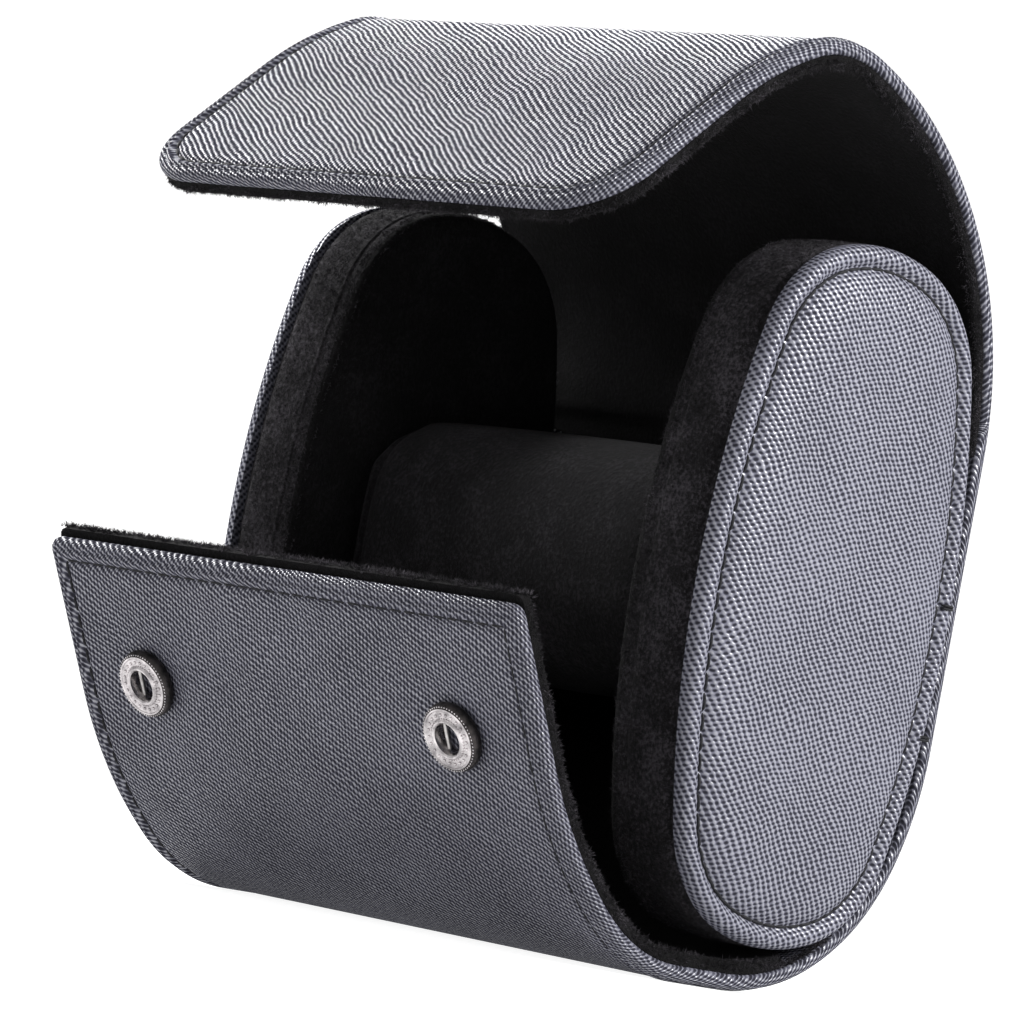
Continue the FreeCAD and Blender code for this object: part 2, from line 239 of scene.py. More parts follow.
def dress(piece, finish):
    """Give a piece its one finish."""
    piece.data.materials.clear()
    piece.data.materials.append(finish)


def dress_part(piece, finish, wanted):
    """Give a second finish to the faces whose middle passes a test."""
    piece.data.materials.append(finish)
    for face in piece.data.polygons:
        face.material_index = int(wanted(face.center))


def ramp(tree, value, *stops):
    """Colour ramp between places and colours."""
    node = add(tree, "ValToRGB", ((0, value),))
    points = node.color_ramp.elements
    while len(points) < len(stops):
        points.new(1.0)
    for point, (place, colour) in zip(points, stops):
        point.position = place
        point.color = (*colour, 1.0)
    return node.outputs["Color"]


# %% [markdown]
# ## Embossed leather
# The calf leather is pressed with fine wavy ridges that run slantwise, each broken into small
# beads, and its wax finish makes the ridge tops shine silvery. The colour is lighter on the
# ridges
# and darker in the valleys: partly the leather's own two-tone finish, partly painted shade in
# the valleys and a painted sheen on the ridge tops. The pattern follows the sheet, so it reads
# the piece's own flat map, which holds metres on the leather.


# %% Embossed leather
# Dark in the valleys, light on the ridges: the leather's two tones, with painted shade in the
# valleys and a painted sheen on the ridges
PIT_COLOUR = (0.024, 0.024, 0.031)
SLOPE_COLOUR = (0.050, 0.050, 0.066)
RIDGE_COLOUR = (0.170, 0.171, 0.212)
WAVES = ((0.07, 2.2), (0.8, 0.5))  # fineness and reach in mm: slow waves, then small unevenness
RIDGE_SHARPNESS = 1.5
BEAD_HIGH, LINK_HIGH = 0.4, 0.45   # how far beads rise on a ridge and link it to the next


def embossed(name, turn, ridge_pitch, bead_pitch, tone_and_light_gain=1.0, relief=0.14):
    """Leather whose ridges run at an angle across the flat map, in degrees and millimetres."""
    finish, tree, shader = new_finish(name)
    flat = add(tree, "UVMap", uv_map="flat").outputs[0]
    in_mm = add(tree, "Mapping", (("Vector", flat), ("Scale", (1000.0,) * 3),
                                  ("Rotation", (0, 0, math.radians(90 - turn))))).outputs[0]
    wavy = in_mm
    for fineness, sway in WAVES:
        wave = add(tree, "TexNoise", (("Vector", wavy), ("Scale", fineness), ("Detail", 1.0)))
        wavy = add(tree, "VectorMath", ((0, wave.outputs["Color"]), (1, (sway,) * 3), (2, wavy)),
                   operation="MULTIPLY_ADD").outputs[0]
    apart = add(tree, "SeparateXYZ", ((0, wavy),))
    across_ridges = maths(tree, "MULTIPLY", apart.outputs["X"], math.tau / ridge_pitch)
    along_ridges = maths(tree, "MULTIPLY", apart.outputs["Y"], math.tau / bead_pitch)
    slanted = maths(tree, "MULTIPLY_ADD", across_ridges, 0.5, along_ridges)
    ridge = maths(tree, "MULTIPLY_ADD", maths(tree, "SINE", across_ridges), 0.5, 0.5)
    ridge = maths(tree, "POWER", ridge, RIDGE_SHARPNESS)
    bead = maths(tree, "MULTIPLY_ADD", maths(tree, "SINE", slanted), 0.5, 0.5)
    grain = add(tree, "TexNoise", (("Vector", in_mm), ("Scale", 1.7), ("Detail", 3.0)))
    worn = add(tree, "TexNoise", (("Vector", in_mm), ("Scale", 0.05), ("Detail", 3.0)))
    patchy = maths(tree, "MULTIPLY_ADD", grain.outputs["Fac"], 1.0, 0.45)
    beaded = maths(tree, "MULTIPLY", ridge, maths(
        tree, "MULTIPLY_ADD", bead, BEAD_HIGH, 1 - BEAD_HIGH))
    linked = maths(tree, "MULTIPLY", maths(tree, "SUBTRACT", 1.0, ridge),
                   maths(tree, "MULTIPLY", bead, LINK_HIGH))
    height = maths(tree, "MULTIPLY", maths(tree, "ADD", beaded, linked), patchy)
    # a larger gain paints the whole leather lighter; on the pad faces this is painted light
    tone = maths(tree, "MULTIPLY_ADD", worn.outputs["Fac"], 0.8 * tone_and_light_gain, 0.6 * tone_and_light_gain)
    shown = maths(tree, "MULTIPLY", height, tone)
    # colour by height: painted shade in the valleys and a painted sheen on the ridge tops, over
    # the leather's own two tones
    colour = ramp(tree, shown, (0.14, PIT_COLOUR), (0.38, SLOPE_COLOUR), (0.9, RIDGE_COLOUR))
    gloss = add(tree, "MapRange", (("Value", height), ("To Min", 0.7), ("To Max", 0.3)))
    bump = add(tree, "Bump", (("Height", height), ("Strength", 1.0), ("Distance", relief * MM)))
    tree.links.new(colour, shader.inputs["Base Color"])
    tree.links.new(gloss.outputs[0], shader.inputs["Roughness"])
    tree.links.new(bump.outputs[0], shader.inputs["Normal"])
    shine = add(tree, "MapRange", (("Value", height), ("From Min", 0.48), ("From Max", 0.85),
                                   ("To Min", 0.0), ("To Max", 2.0)))
    tree.links.new(shine.outputs[0], shader.inputs["Specular IOR Level"])
    return finish


wrap_leather = embossed("wrap_leather", 33, 0.88, 0.8, 1.15, 0.18)
# The pad faces are painted lighter than the wrap (gain 1.65 against 1.15): painted light on the
# end pads, which face the key lamp.
pad_leather = embossed("pad_leather", -50, 1.02, 0.84, 1.65, 0.12)
print("leather finishes made")

# %% [markdown]
# ## Suede
# The lining, the sides of the pads and the cushion are black suede: soft, matt, with a
# nap that brightens at grazing angles and lies in faint lighter and darker strokes.


# %% Suede
def suede_finish(name, tint, sheen):
    """Suede of a tint, with how much its nap brightens at grazing angles."""
    finish, tree, shader = new_finish(name)
    place = add(tree, "TexCoord").outputs["Object"]
    in_mm = add(tree, "Mapping", (("Vector", place), ("Scale", (1000.0,) * 3))).outputs[0]
    nap = add(tree, "TexNoise", (("Vector", in_mm), ("Scale", 1.6), ("Detail", 5.0),
                                 ("Roughness", 0.7)))
    strokes = add(tree, "TexNoise", (("Vector", in_mm), ("Scale", 0.12), ("Detail", 2.0)))
    mixed = maths(tree, "MULTIPLY_ADD", strokes.outputs["Fac"], 0.3,
                  maths(tree, "MULTIPLY", nap.outputs["Fac"], 0.7))
    dark = tuple(0.15 * c for c in tint)
    light = tuple(4.5 * c for c in tint)
    tree.links.new(ramp(tree, mixed, (0.38, dark), (0.5, tint), (0.62, light)),
                   shader.inputs["Base Color"])
    bump = add(tree, "Bump", (("Height", nap.outputs["Fac"]), ("Strength", 0.9),
                              ("Distance", 0.5 * MM)))
    tree.links.new(bump.outputs[0], shader.inputs["Normal"])
    shader.inputs["Roughness"].default_value = 0.95
    shader.inputs["Specular IOR Level"].default_value = 0.15
    shader.inputs["Sheen Weight"].default_value = sheen
    shader.inputs["Sheen Roughness"].default_value = 0.5
    shader.inputs["Sheen Tint"].default_value = (0.75, 0.72, 0.78, 1.0)
    return finish


SUEDE_TINT = (0.0115, 0.0105, 0.0122)
suede = suede_finish("suede", SUEDE_TINT, 0.05)
# The lining's suede, darkened to 0.12 of the tint, is painted shade inside the case.
lining_painted_shade = suede_finish("suede_inside_painted_shade", tuple(0.12 * c for c in SUEDE_TINT), 0.02)
# The cushion's suede, darkened to 0.4 of the tint, is painted shade between the pads.
cushion_painted_shade = suede_finish("suede_cushion_painted_shade", tuple(0.4 * c for c in SUEDE_TINT), 0.04)
# The suede of the pads' inner faces, darkened to 0.2 of the tint, is painted shade.
cover_painted_shade = suede_finish("suede_cover_painted_shade", tuple(0.2 * c for c in SUEDE_TINT), 0.02)
print("suede made")

# %% [markdown]
# ## Thread and metal
# The stitches are waxed black thread. The press studs are darkened nickel, a little worn.


# %% Thread and metal
def thread_finish():
    finish, tree, shader = new_finish("waxed_thread")
    place = add(tree, "TexCoord").outputs["Object"]
    twist = add(tree, "TexNoise", (("Vector", place), ("Scale", 2400.0), ("Detail", 2.0)))
    tree.links.new(ramp(tree, twist.outputs["Fac"], (0.3, (0.003, 0.003, 0.004)),
                        (0.7, (0.016, 0.016, 0.02))), shader.inputs["Base Color"])
    bump = add(tree, "Bump", (("Height", twist.outputs["Fac"]), ("Strength", 0.6),
                              ("Distance", 0.08 * MM)))
    tree.links.new(bump.outputs[0], shader.inputs["Normal"])
    shader.inputs["Roughness"].default_value = 0.7
    shader.inputs["Specular IOR Level"].default_value = 0.25
    return finish


def metal_finish(name, bright, dark, low, high):
    """Worn metal between two colours and from its lowest to its highest roughness."""
    finish, tree, shader = new_finish(name)
    place = add(tree, "TexCoord").outputs["Object"]
    wear = add(tree, "TexNoise", (("Vector", place), ("Scale", 700.0), ("Detail", 4.0)))
    tree.links.new(ramp(tree, wear.outputs["Fac"], (0.3, dark), (0.65, bright)),
                   shader.inputs["Base Color"])
    gloss = add(tree, "MapRange", (("Value", wear.outputs["Fac"]), ("To Min", high),
                                   ("To Max", low)))
    tree.links.new(gloss.outputs[0], shader.inputs["Roughness"])
    bump = add(tree, "Bump", (("Height", wear.outputs["Fac"]), ("Strength", 0.15),
                              ("Distance", 0.05 * MM)))
    tree.links.new(bump.outputs[0], shader.inputs["Normal"])
    shader.inputs["Metallic"].default_value = 1.0
    return finish


thread = thread_finish()
nickel = metal_finish("dark_nickel", (0.74, 0.70, 0.71), (0.32, 0.30, 0.31), 0.16, 0.36)
# A nearly black copy of the nickel: painted shade and a painted dark reflection on the flank of
# the sockets.
flank_painted_shade = metal_finish("nickel_painted_shade", (0.09, 0.08, 0.08), (0.02, 0.02, 0.02), 0.35, 0.6)
wire = metal_finish("spring_wire", (0.55, 0.54, 0.53), (0.3, 0.29, 0.28), 0.22, 0.4)
print("thread and metal made")

# %% [markdown]
# ## The line that the wrap follows
# Seen from the end, the wrap is straight runs and bends. The same runs as in the CAD source
# are walked here, so that a sheet modelled flat can be laid round them: its length becomes
# the distance walked, and its thickness becomes the depth inside the outer line.

# %% Line of the wrap
FOOT_HALF = 5.5
REAR_RUNS = (
    (0, FOOT_HALF), (36.6, 68.0), (51.4, 22.0), (0, 46.4),
    (57.7, 73.3), (20.9, 41.8), (64.3, 17.6), (0, 33.0),
)
FRONT_RUNS = ((0, FOOT_HALF), (30.0, 37.4), (70.0, 22.6), (0, 26.0))


def walk(runs, side):
    """Start, turn and length of each run, in the plane seen from the end."""
    y = z = turn = gone = 0.0
    found = []
    for radius, amount in runs:
        length = radius * math.radians(amount) if radius else amount
        found.append((gone, y, z, turn, radius, length))
        after = turn + (length / radius if radius else 0)
        if radius:
            y += side * radius * (math.sin(after) - math.sin(turn))
            z += radius * (math.cos(turn) - math.cos(after))
        else:
            y += side * length * math.cos(turn)
            z += length * math.sin(turn)
        turn = after
        gone += length
    return found, gone


REAR_WALK, REAR_LENGTH = walk(REAR_RUNS, 1)
FRONT_WALK, FRONT_LENGTH = walk(FRONT_RUNS, -1)


def laid_round(rows):
    """Lay flat places (across, along, depth) round the line of the wrap."""
    rows = np.asarray(rows, float) / MM
    laid = rows.copy()
    for steps, side in ((REAR_WALK, 1), (FRONT_WALK, -1)):
        along = rows[:, 1] * side
        for number, (gone, y, z, turn, radius, length) in enumerate(steps):
            last = number == len(steps) - 1
            inside = (along >= gone if number else along >= 0) & (
                (along < gone + length) | last)
            if side < 0:
                inside &= rows[:, 1] < 0
            part = along[inside] - gone
            here = turn + (part / radius if radius else 0 * part)
            if radius:
                way_y = y + side * radius * (np.sin(here) - math.sin(turn))
                way_z = z + radius * (math.cos(turn) - np.cos(here))
            else:
                way_y = y + side * part * math.cos(turn)
                way_z = z + part * math.sin(turn)
            depth = rows[inside, 2]
            laid[inside, 1] = way_y - side * depth * np.sin(here)
            laid[inside, 2] = way_z + depth * np.cos(here)
    return laid * MM


def on_line(along, depth=0.0, across=0.0):
    """One point of the wrap, from millimetres on the flat sheet."""
    return Vector(laid_round([[across * MM, along * MM, depth * MM]])[0])


print("wrap length", round(REAR_LENGTH + FRONT_LENGTH, 1), "mm")

# %% [markdown]
# ## Floor and light
# A wide pale dish stands for the floor and the wall behind it. It rises in one smooth sweep,
# so no horizon cuts across the low view, and it glows, as an overlit studio sheet does. Three
# soft lamps stand round the case: one behind it, opposite the camera, and one to its left,
# which make the ridges of the leather shine, and a key on the right for the end pad.

# %% Floor and light
DISH_FLOOR, DISH_RIM, DISH_HEIGHT = 2.2, 3.4, 2.6
FLOOR_BELOW = 0.00035      # the turned edges of the wrap stand a little proud of its underside
SEEN_GLOW, CAST_GLOW = 0.9, 0.4   # white to the camera, but a softer light on the case
SWEEP_STEPS = 12
RIM_SHARE = 0.98           # edges beyond this share of the last radius are the open rim


def dish_radius(angle):
    """Radius of the dish where its sweep has turned by an angle."""
    return DISH_FLOOR + (DISH_RIM - DISH_FLOOR) * math.sin(angle)


bpy.ops.mesh.primitive_circle_add(vertices=96, radius=DISH_FLOOR, fill_type="NGON",
                                  location=(0, 0, -FLOOR_BELOW))
dish = newest("floor")
begin(dish)
for step in range(1, SWEEP_STEPS + 1):
    before, now = (math.pi / 2 * s / SWEEP_STEPS for s in (step - 1, step))
    pick(dish, "EDGE", lambda mid, way: math.hypot(mid.x, mid.y)
         > RIM_SHARE * dish_radius(before))
    bpy.ops.mesh.extrude_edges_move()
    grow = dish_radius(now) / dish_radius(before)
    bpy.ops.transform.resize(value=(grow, grow, 1), center_override=(0, 0, 0))
    lift = DISH_HEIGHT * (math.cos(before) - math.cos(now))
    bpy.ops.transform.translate(value=(0, 0, lift))
done()
smooth(dish, 60)
floor_finish, tree, shader = new_finish("pale_floor")
place = add(tree, "TexCoord").outputs["Object"]
cloudy = add(tree, "TexNoise", (("Vector", place), ("Scale", 3.0), ("Detail", 2.0)))
tree.links.new(ramp(tree, cloudy.outputs["Fac"], (0.3, (0.48, 0.48, 0.48)),
                    (0.7, (0.52, 0.52, 0.515))), shader.inputs["Base Color"])
shader.inputs["Roughness"].default_value = 0.9
shader.inputs["Specular IOR Level"].default_value = 0.0
shader.inputs["Emission Color"].default_value = (1.0, 1.0, 1.0, 1.0)
seen = add(tree, "LightPath").outputs["Is Camera Ray"]
tree.links.new(maths(tree, "MULTIPLY_ADD", seen, SEEN_GLOW - CAST_GLOW, CAST_GLOW),
               shader.inputs["Emission Strength"])
dish.data.materials.append(floor_finish)
dish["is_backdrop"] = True

OBJECT_MIDDLE = (cad_low + cad_high) / 2
LAMPS = {
    # name: azimuth, elevation, distance, size, power
    "top_back": (-133, 33, 1.0, 0.3, 4.5),
    "top_left": (-85, 36, 1.0, 0.3, 14),
    "key_right": (114, 32, 1.1, 0.3, 18),
}
for name, (azimuth, elevation, distance, size, power) in LAMPS.items():
    azimuth, elevation = math.radians(azimuth), math.radians(elevation)
    way = Vector((math.sin(azimuth) * math.cos(elevation),
                  -math.cos(azimuth) * math.cos(elevation), math.sin(elevation)))
    bpy.ops.object.light_add(type="AREA", location=OBJECT_MIDDLE + way * distance)
    lamp = newest(name)
    lamp.rotation_euler = way.to_track_quat("Z", "Y").to_euler()
    lamp.data.size = size
    lamp.data.energy = power
world = bpy.data.worlds.new("soft_sky")
world.use_nodes = True
world.node_tree.nodes["Background"].inputs["Color"].default_value = (1.0, 1.0, 1.0, 1.0)
world.node_tree.nodes["Background"].inputs["Strength"].default_value = 0.35
bpy.context.scene.world = world
bpy.context.scene.view_settings.view_transform = "Standard"
print("floor and", len(LAMPS), "lamps")

# %% [markdown]
# ## The leather of the wrap
# The cover is one sheet of leather, its edge turned over a board. It starts as a flat box with
# the outline of the real sheet. Bevels round its corners and edges, insets raise the rolled
# edge and sink the line of stitching, and cuts across it let it bend. Then it is laid round
# the line of the wrap. It is cut into four pieces between the folds.

# %% Flat sheet
WRAP_HALF = 52.2
LEATHER_DEPTH = 2.4        # the turned cover, with the board inside it
LID_CORNER, FLAP_CORNER = 13.0, 2.0
EDGE_ROUND, INNER_ROUND, ROUND_STEPS = 1.15, 1.0, 4
FIELD = 5.0                # the middle of the sheet's outer face is this near its centre line
ROLL_INSET, ROLL_HIGH = 0.8, 0.3
CREASE_INSET, CREASE_DEEP = 0.3, 0.12
GROOVE_STEPS = ((0.65, -0.2), (0.45, -0.25), (0.35, -0.3), (0.35, 0.3), (0.6, 0.2))
FOLD_STEP = 1.9            # cuts this far apart let the sheet bend
ACROSS_STEP = 6.5
SNAP_X, SOCKET_FROM_EDGE = 34.2, 22.2
SOCKET_ALONG = FRONT_LENGTH - SOCKET_FROM_EDGE
# The sockets press into the leather and pucker it. The dent fades out to FADE times its width.
DIMPLE_FIELD, DIMPLE, DIMPLE_WIDE, DIMPLE_FADE = 11.0, 0.45, 6.2, 1.6
FOLDS, FOLD_DEEP, FOLD_RING, FOLD_WIDE = 9, 0.12, 6.6, 1.3


def flat_box(name, half, low, high, outer, inner):
    """A box with the outline of a sheet, laid flat, in metres."""
    bpy.ops.mesh.primitive_cube_add(
        size=1, location=(0, (low + high) / 2 * MM, (outer + inner) / 2 * MM),
        scale=(half * 2 * MM, (high - low) * MM, (inner - outer) * MM))
    box = newest(name)
    bpy.ops.object.transform_apply(location=True, rotation=True, scale=True)
    return box


def round_outline(sheet, low, high, low_corner, high_corner):
    """Round the upright corner edges at both ends of a flat sheet."""
    for end, radius, steps in ((high, high_corner, 14), (low, low_corner, 3)):
        pick(sheet, "EDGE", lambda mid, way: abs(way.z) > 0.9 and abs(mid.y - end * MM) < MM)
        bpy.ops.mesh.bevel(offset=radius * MM, segments=steps, affect="EDGES")


def cut_across(sheet, low, high, step):
    """Cut a flat sheet across at even distances."""
    count = int((high - low) / step)
    for number in range(1, count + 1):
        bpy.ops.mesh.select_all(action="SELECT")
        bpy.ops.mesh.bisect(plane_co=(0, (low + number * step) * MM, 0), plane_no=(0, 1, 0))


flat_leather = flat_box("flat_leather", WRAP_HALF, -FRONT_LENGTH, REAR_LENGTH, 0, LEATHER_DEPTH)
begin(flat_leather)
round_outline(flat_leather, -FRONT_LENGTH, REAR_LENGTH, FLAP_CORNER, LID_CORNER)
for depth, radius in ((0.0, EDGE_ROUND), (LEATHER_DEPTH, INNER_ROUND)):
    pick(flat_leather, "EDGE", lambda mid, way: abs(way.z) < 0.1
         and abs(mid.z - depth * MM) < 0.1 * MM)
    bpy.ops.mesh.bevel(offset=radius * MM, segments=ROUND_STEPS, affect="EDGES")
pick(flat_leather, "FACE", lambda mid, normal: normal.z < -0.99 and abs(mid.x) < FIELD * MM)
bpy.ops.mesh.inset(thickness=CREASE_INSET * MM, depth=-CREASE_DEEP * MM)
bpy.ops.mesh.inset(thickness=(ROLL_INSET - CREASE_INSET) * MM,
                   depth=(ROLL_HIGH + CREASE_DEEP) * MM)
gone = EDGE_ROUND + ROLL_INSET
for side in SIDES.values():
    corner = Vector((side * (WRAP_HALF - gone), gone - FRONT_LENGTH, -ROLL_HIGH)) * MM
    pick(flat_leather, "VERT", lambda place, normal: place.z < -ROLL_HIGH / 2 * MM
         and (place - corner).length < FLAP_CORNER / 2 * MM)
    bpy.ops.mesh.merge(type="CENTER")
for thickness, depth in GROOVE_STEPS:
    pick(flat_leather, "FACE", lambda mid, normal: normal.z < -0.99
         and abs(mid.x) < FIELD * MM and mid.z < MM)
    bpy.ops.mesh.inset(thickness=thickness * MM, depth=depth * MM)
cut_across(flat_leather, -FRONT_LENGTH, REAR_LENGTH, FOLD_STEP)
for number in range(-7, 8):
    bpy.ops.mesh.select_all(action="SELECT")
    bpy.ops.mesh.bisect(plane_co=(number * ACROSS_STEP * MM, 0, 0), plane_no=(1, 0, 0))
pick(flat_leather, "FACE", lambda mid, normal: normal.z < -0.9 and math.hypot(
    abs(mid.x) - SNAP_X * MM, mid.y + SOCKET_ALONG * MM) < DIMPLE_FIELD * MM)
bpy.ops.mesh.subdivide(number_cuts=2)
done()
rows = places(flat_leather)
beside, ahead = np.abs(rows[:, 0]) / MM - SNAP_X, rows[:, 1] / MM + SOCKET_ALONG
from_socket, around_socket = np.hypot(beside, ahead), np.arctan2(ahead, beside)
dent = DIMPLE * np.clip(DIMPLE_FADE - from_socket / DIMPLE_WIDE, 0, 1)
folds = FOLD_DEEP * np.cos(FOLDS * around_socket) * np.exp(
    -((from_socket - FOLD_RING) / FOLD_WIDE) ** 2)
rows[:, 2] += np.where(rows[:, 2] < MM / 2, (dent + folds) * MM, 0)
put(flat_leather, rows)
print("flat leather faces", len(flat_leather.data.polygons))

# %% [markdown]
# ## Laying the sheet round the case
# A map is kept before the sheet is bent, so that the pressed pattern follows the leather.

# %% Lay the leather round
MAP_TURNS = 120.0          # past this distance the map runs round the lid's end, not the flap's
BEND_DEPTH = 3.0           # the ends of each bend are found this deep inside the outer line
PIECES = {
    # name: start, end, its two bodies, where the bend starts and ends, nodes it stands for
    "flap": (-FRONT_LENGTH, 0.0, "case", "flap", -2.0, -14.0, ("flap",)),
    "back": (0.0, 130.0, "case", "crown_rear", 112.0, 126.0, ("spine", "crown_rear")),
    "crown": (130.0, 150.5, "crown_rear", "crown_top", 134.0, 148.0, ("crown_top",)),
    "lid": (150.5, REAR_LENGTH, "crown_top", "lid", 153.0, 167.0, ("lid",)),
}


def keep_flat_map(piece):
    """Store each corner's place on the flat sheet as a map, carried on round the edges."""
    rows = places(piece)
    ends = np.where(rows[:, 1] > MAP_TURNS * MM, 1, -1)
    keep_map(piece, np.stack([
        rows[:, 0] + np.sign(rows[:, 0]) * rows[:, 2], rows[:, 1] + ends * rows[:, 2],
    ], axis=1))


def cut_piece(sheet, name, low, high):
    """A copy of a flat sheet between two distances along it."""
    part = copy_of(sheet, name)
    begin(part)
    for place, clear_high, skip in ((high, True, high >= REAR_LENGTH),
                                    (low, False, low <= -FRONT_LENGTH)):
        if skip:
            continue
        bpy.ops.mesh.select_all(action="SELECT")
        bpy.ops.mesh.bisect(plane_co=(0, place * MM, 0), plane_no=(0, 1, 0),
                            clear_outer=clear_high, clear_inner=not clear_high, use_fill=True)
    done()
    return part


def lay_and_ride(part, bend_start, bend_end):
    """Bend a flat piece round the wrap's line."""
    put(part, laid_round(places(part)))
    smooth(part)
    on_line(bend_start, BEND_DEPTH)
    on_line(bend_end, BEND_DEPTH)
    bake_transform(part)


for name, (low, high, first, second, bend_start, bend_end, nodes) in PIECES.items():
    part = cut_piece(flat_leather, f"{name}_cover", low, high)
    keep_flat_map(part)
    dress(part, wrap_leather)
    lay_and_ride(part, bend_start, bend_end)
    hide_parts(*(f"{node}_{layer}" for node in nodes for layer in ("leather", "board")))
    print(part.name, len(part.data.polygons), "faces")

# %% [markdown]
# ## Suede lining
# The lining is a thinner sheet inside the cover, cut a little short of its edge. Between the
# end pads it is narrow, because the pads are sewn to the cover there.

# %% Suede lining
LINING_INSET = 0.6
LINING_SHORT = -1.0        # at the top of the flap the suede stands past the edge
LINING_OUT, LINING_IN, LINING_ROUND = 2.45, 4.4, 0.8
NARROW_HALF, NARROW_FROM, NARROW_TO, NARROW_EASE = 36.8, 21.0, 113.0, 3.0

flat_lining = flat_box("flat_lining", WRAP_HALF - LINING_INSET, LINING_SHORT - FRONT_LENGTH,
                       REAR_LENGTH - LINING_INSET, LINING_OUT, LINING_IN)
begin(flat_lining)
round_outline(flat_lining, LINING_SHORT - FRONT_LENGTH, REAR_LENGTH - LINING_INSET,
              FLAP_CORNER - LINING_INSET, LID_CORNER - LINING_INSET)
pick(flat_lining, "EDGE", lambda mid, way: abs(way.z) < 0.1
     and abs(mid.z - LINING_IN * MM) < 0.1 * MM)
bpy.ops.mesh.bevel(offset=LINING_ROUND * MM, segments=3, affect="EDGES")
cut_across(flat_lining, -FRONT_LENGTH, REAR_LENGTH, FOLD_STEP)
done()
rows = places(flat_lining)
along = rows[:, 1] / MM
inside = np.clip(np.minimum(along - NARROW_FROM, NARROW_TO - along) / NARROW_EASE + 0.5, 0, 1)
share = inside * inside * (3 - 2 * inside)
rows[:, 0] *= 1 + share * (NARROW_HALF / (WRAP_HALF - LINING_INSET) - 1)
put(flat_lining, rows)
LINED = {"flap": ("flap",), "back": ("bottom", "back", "crown_rear"), "crown": ("crown_top",),
         "lid": ("lid",)}
for name, (low, high, first, second, bend_start, bend_end, _) in PIECES.items():
    part = cut_piece(flat_lining, f"{name}_suede", low, high)
    # painted shade: the lining gets the darkened copy of the suede
    dress(part, lining_painted_shade)
    lay_and_ride(part, bend_start, bend_end)
    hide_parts(*(f"{node}_lining" for node in LINED[name]))
for flat in (flat_leather, flat_lining):
    bpy.data.objects.remove(flat)
print("lining laid")

# %% [markdown]
# ## The oval of the end pads
# The end pads are ovals of eight tangent arcs. One function walks round the oval at an even
# pace, and its opposite tells how far round and how far in from the edge a place is. Both
# serve for the shapes, the puckers between stitches and the pressed pattern.

# %% Oval
PAD_Y, PAD_Z = 11.7, 61.5
HALF_Y, HALF_Z = 28.8, 54.5
SIDE_R, END_R, CORNER_R = 150.0, 33.0, 21.0
SIDE_C, END_C = HALF_Y - SIDE_R, HALF_Z - END_R
apart = math.hypot(SIDE_C, END_C)
reach = ((SIDE_R - CORNER_R) ** 2 - (END_R - CORNER_R) ** 2 + apart ** 2) / (2 * apart)
off = math.sqrt((SIDE_R - CORNER_R) ** 2 - reach ** 2)
CORNER_Y = SIDE_C - reach * SIDE_C / apart - off * END_C / apart
CORNER_Z = reach * END_C / apart - off * SIDE_C / apart
LOWER = math.atan2(CORNER_Z, CORNER_Y - SIDE_C)
UPPER = math.atan2(CORNER_Z - END_C, CORNER_Y)
FLANK, CORNER = SIDE_R * LOWER, CORNER_R * (UPPER - LOWER)
QUARTER = FLANK + CORNER + END_R * (math.pi / 2 - UPPER)
AROUND = 4 * QUARTER


def round_oval(gone, drop=0.0):
    """Place and outward way on the oval, a distance round it from its rear side."""
    quarter, part = divmod(gone % AROUND, QUARTER)
    if quarter in (1, 3):
        part = QUARTER - part
    if part <= FLANK:
        centre, radius, angle = (SIDE_C, 0), SIDE_R, part / SIDE_R
    elif part <= FLANK + CORNER:
        centre, radius = (CORNER_Y, CORNER_Z), CORNER_R
        angle = LOWER + (part - FLANK) / CORNER_R
    else:
        centre, radius = (0, END_C), END_R
        angle = UPPER + (part - FLANK - CORNER) / END_R
    way = np.array([math.cos(angle), math.sin(angle)])
    place = np.array(centre) + (radius - drop) * way
    flip = np.array([1 if quarter in (0, 3) else -1, 1 if quarter < 2 else -1])
    return place * flip, way * flip


def oval_place(y, z):
    """Distance round the oval and distance in from its edge, of places in its plane."""
    near_y, near_z = np.abs(y), np.abs(z)
    low = np.arctan2(near_z, near_y - SIDE_C)
    high = np.arctan2(near_z - END_C, near_y)
    bend = np.arctan2(near_z - CORNER_Z, near_y - CORNER_Y)
    on_flank, on_end = low <= LOWER, high >= UPPER
    part = np.where(on_flank, SIDE_R * low, np.where(
        on_end, FLANK + CORNER + END_R * (high - UPPER), FLANK + CORNER_R * (bend - LOWER)))
    drop = np.where(on_flank, SIDE_R - np.hypot(near_y - SIDE_C, near_z), np.where(
        on_end, END_R - np.hypot(near_y, near_z - END_C),
        CORNER_R - np.hypot(near_y - CORNER_Y, near_z - CORNER_Z)))
    rear, top = y >= 0, z >= 0
    gone = np.where(rear & top, part, np.where(top, 2 * QUARTER - part, np.where(
        rear, AROUND - part, 2 * QUARTER + part)))
    return gone, drop


PAD_STITCHES = 90
CORNERS_PER_STITCH = 6


def oval_disc(name, x, drop, facing):
    """A disc with the outline of the pad, its face towards the right or the left."""
    count = PAD_STITCHES * CORNERS_PER_STITCH
    bpy.ops.mesh.primitive_circle_add(vertices=count, radius=HALF_Z * MM, fill_type="NGON")
    disc = newest(name)
    ring = [round_oval(facing * number * AROUND / count, drop)[0] for number in range(count)]
    put(disc, [(x * MM, (PAD_Y + y) * MM, (PAD_Z + z) * MM) for y, z in ring])
    return disc


